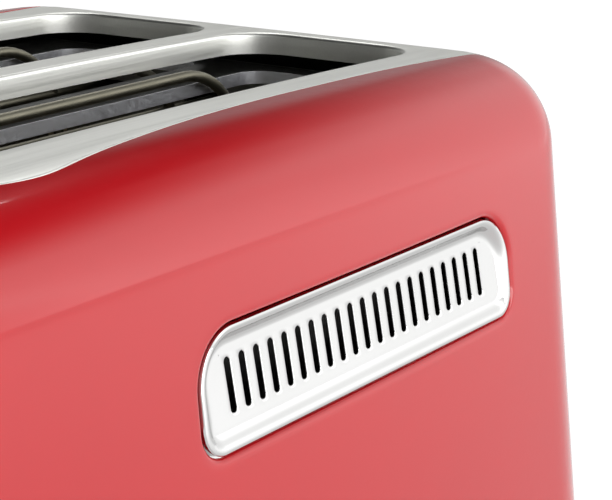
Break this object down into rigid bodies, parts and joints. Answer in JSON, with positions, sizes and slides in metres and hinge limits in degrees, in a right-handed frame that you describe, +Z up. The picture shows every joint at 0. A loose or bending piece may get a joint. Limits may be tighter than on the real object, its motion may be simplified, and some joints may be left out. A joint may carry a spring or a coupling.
{
  "type": "toaster",
  "caption": "Pop-up toaster with a rounded painted body, brushed top plate with long bread slots, slotted side vents, a lever, a browning dial, push buttons and a pull-out crumb tray.",
  "frame": {"origin": "on the surface the toaster stands on, under the middle of the whole toaster, lever and tray handle included", "axes": "+Z up; X along the bread slots with the lever at the -X end and the crumb tray at the +X end; the vent seen in the picture is on the -Y side"},
  "size_m": [0.2418, 0.1644, 0.186],
  "materials": {
    "red_enamel": "gloss red enamel on pressed sheet",
    "plate_steel": "stainless sheet brushed along the slots",
    "vent_steel": "bright satin stainless sheet",
    "base_plastic": "black moulded plastic, fine grain",
    "foot_rubber": "black rubber",
    "tray_steel": "plain rolled sheet",
    "chassis_steel": "galvanised sheet",
    "carriage_steel": "plated sheet",
    "mica_board": "pressed mica sheet",
    "heater_ribbon": "resistance ribbon, heat-tinted",
    "guard_wire": "plated wire",
    "bright_rod": "bright drawn steel",
    "control_plastic": "black moulded plastic",
    "magnet_iron": "stacked iron sheet",
    "coil_copper": "lacquered copper wire",
    "circuit_board": "green resin board",
    "switch_plastic": "black moulded plastic"
  },
  "bodies": {
    "housing": {"body_shell": "red_enamel", "top_plate": "plate_steel", "left_vent_grille": "vent_steel", "right_vent_grille": "vent_steel", "control_fascia": "plate_steel", "panel_carrier": "base_plastic", "base_skirt": "base_plastic", "base_pan": "base_plastic", "rubber_feet": "foot_rubber", "cord_gland": "foot_rubber", "chamber_top_frame": "chassis_steel", "front_chassis_plate": "chassis_steel", "rear_chassis_plate": "chassis_steel", "left_reflector": "chassis_steel", "right_reflector": "chassis_steel", "left_heater_board": "mica_board", "centre_heater_board": "mica_board", "right_heater_board": "mica_board", "left_heater_ribbon": "heater_ribbon", "centre_heater_ribbon": "heater_ribbon", "right_heater_ribbon": "heater_ribbon", "guide_rods": "bright_rod", "upper_rod_bracket": "chassis_steel", "lower_rod_bracket": "chassis_steel", "return_spring": "bright_rod", "magnet_core": "magnet_iron", "magnet_coil": "coil_copper", "magnet_bracket": "chassis_steel", "power_switch": "switch_plastic", "control_board": "circuit_board", "tact_switches": "switch_plastic", "browning_potentiometer": "switch_plastic", "chassis_screws": "bright_rod", "board_screws": "bright_rod"},
    "carriage": {"carriage_bracket": "carriage_steel", "left_bread_lifter": "carriage_steel", "right_bread_lifter": "carriage_steel", "lever_arm": "carriage_steel", "lever_knob": "control_plastic", "armature_plate": "carriage_steel"},
    "left_outer_guide": {"left_outer_guard": "guard_wire"},
    "left_inner_guide": {"left_inner_guard": "guard_wire"},
    "right_inner_guide": {"right_inner_guard": "guard_wire"},
    "right_outer_guide": {"right_outer_guard": "guard_wire"},
    "browning_dial": {"potentiometer_shaft": "bright_rod", "browning_knob": "control_plastic"},
    "cancel_key": {"cancel_button": "control_plastic"},
    "reheat_key": {"reheat_button": "control_plastic"},
    "defrost_key": {"defrost_button": "control_plastic"},
    "tray": {"crumb_tray": "tray_steel", "crumb_tray_handle": "base_plastic"}
  },
  "joints": [
    {"name": "carriage_slide", "type": "slide", "parent": "housing", "child": "carriage", "axis": [0, 0, 1], "range_m": [-0.055, 0], "stiffness_N_per_m": 100, "springref_m": 0.05, "deforming": ["return_spring"]},
    {"name": "left_outer_guide_slide", "type": "slide", "parent": "housing", "child": "left_outer_guide", "axis": [0, 1, 0], "range_m": [0, 0.006]},
    {"name": "left_inner_guide_slide", "type": "slide", "parent": "housing", "child": "left_inner_guide", "axis": [0, -1, 0], "range_m": [0, 0.006]},
    {"name": "right_inner_guide_slide", "type": "slide", "parent": "housing", "child": "right_inner_guide", "axis": [0, 1, 0], "range_m": [0, 0.006]},
    {"name": "right_outer_guide_slide", "type": "slide", "parent": "housing", "child": "right_outer_guide", "axis": [0, -1, 0], "range_m": [0, 0.006]},
    {"name": "browning_turn", "type": "hinge", "parent": "housing", "child": "browning_dial", "pos_m": [-0.10395, 0, 0.05619], "axis": [-0.9956, 0, 0.0938], "range_deg": [-135, 135]},
    {"name": "cancel_press", "type": "slide", "parent": "housing", "child": "cancel_key", "axis": [0.9956, 0, -0.0938], "range_m": [0, 0.0015], "stiffness_N_per_m": 400, "springref_m": -0.0005},
    {"name": "reheat_press", "type": "slide", "parent": "housing", "child": "reheat_key", "axis": [0.9956, 0, -0.0938], "range_m": [0, 0.0015], "stiffness_N_per_m": 400, "springref_m": -0.0005},
    {"name": "defrost_press", "type": "slide", "parent": "housing", "child": "defrost_key", "axis": [0.9956, 0, -0.0938], "range_m": [0, 0.0015], "stiffness_N_per_m": 400, "springref_m": -0.0005},
    {"name": "tray_pull", "type": "slide", "parent": "housing", "child": "tray", "axis": [1, 0, 0], "range_m": [0, 0.15]}
  ],
  "couplings": [
    {"joint": "left_outer_guide_slide", "follows": "carriage_slide", "ratio": -0.10909},
    {"joint": "left_inner_guide_slide", "follows": "carriage_slide", "ratio": -0.10909},
    {"joint": "right_inner_guide_slide", "follows": "carriage_slide", "ratio": -0.10909},
    {"joint": "right_outer_guide_slide", "follows": "carriage_slide", "ratio": -0.10909}
  ]
}
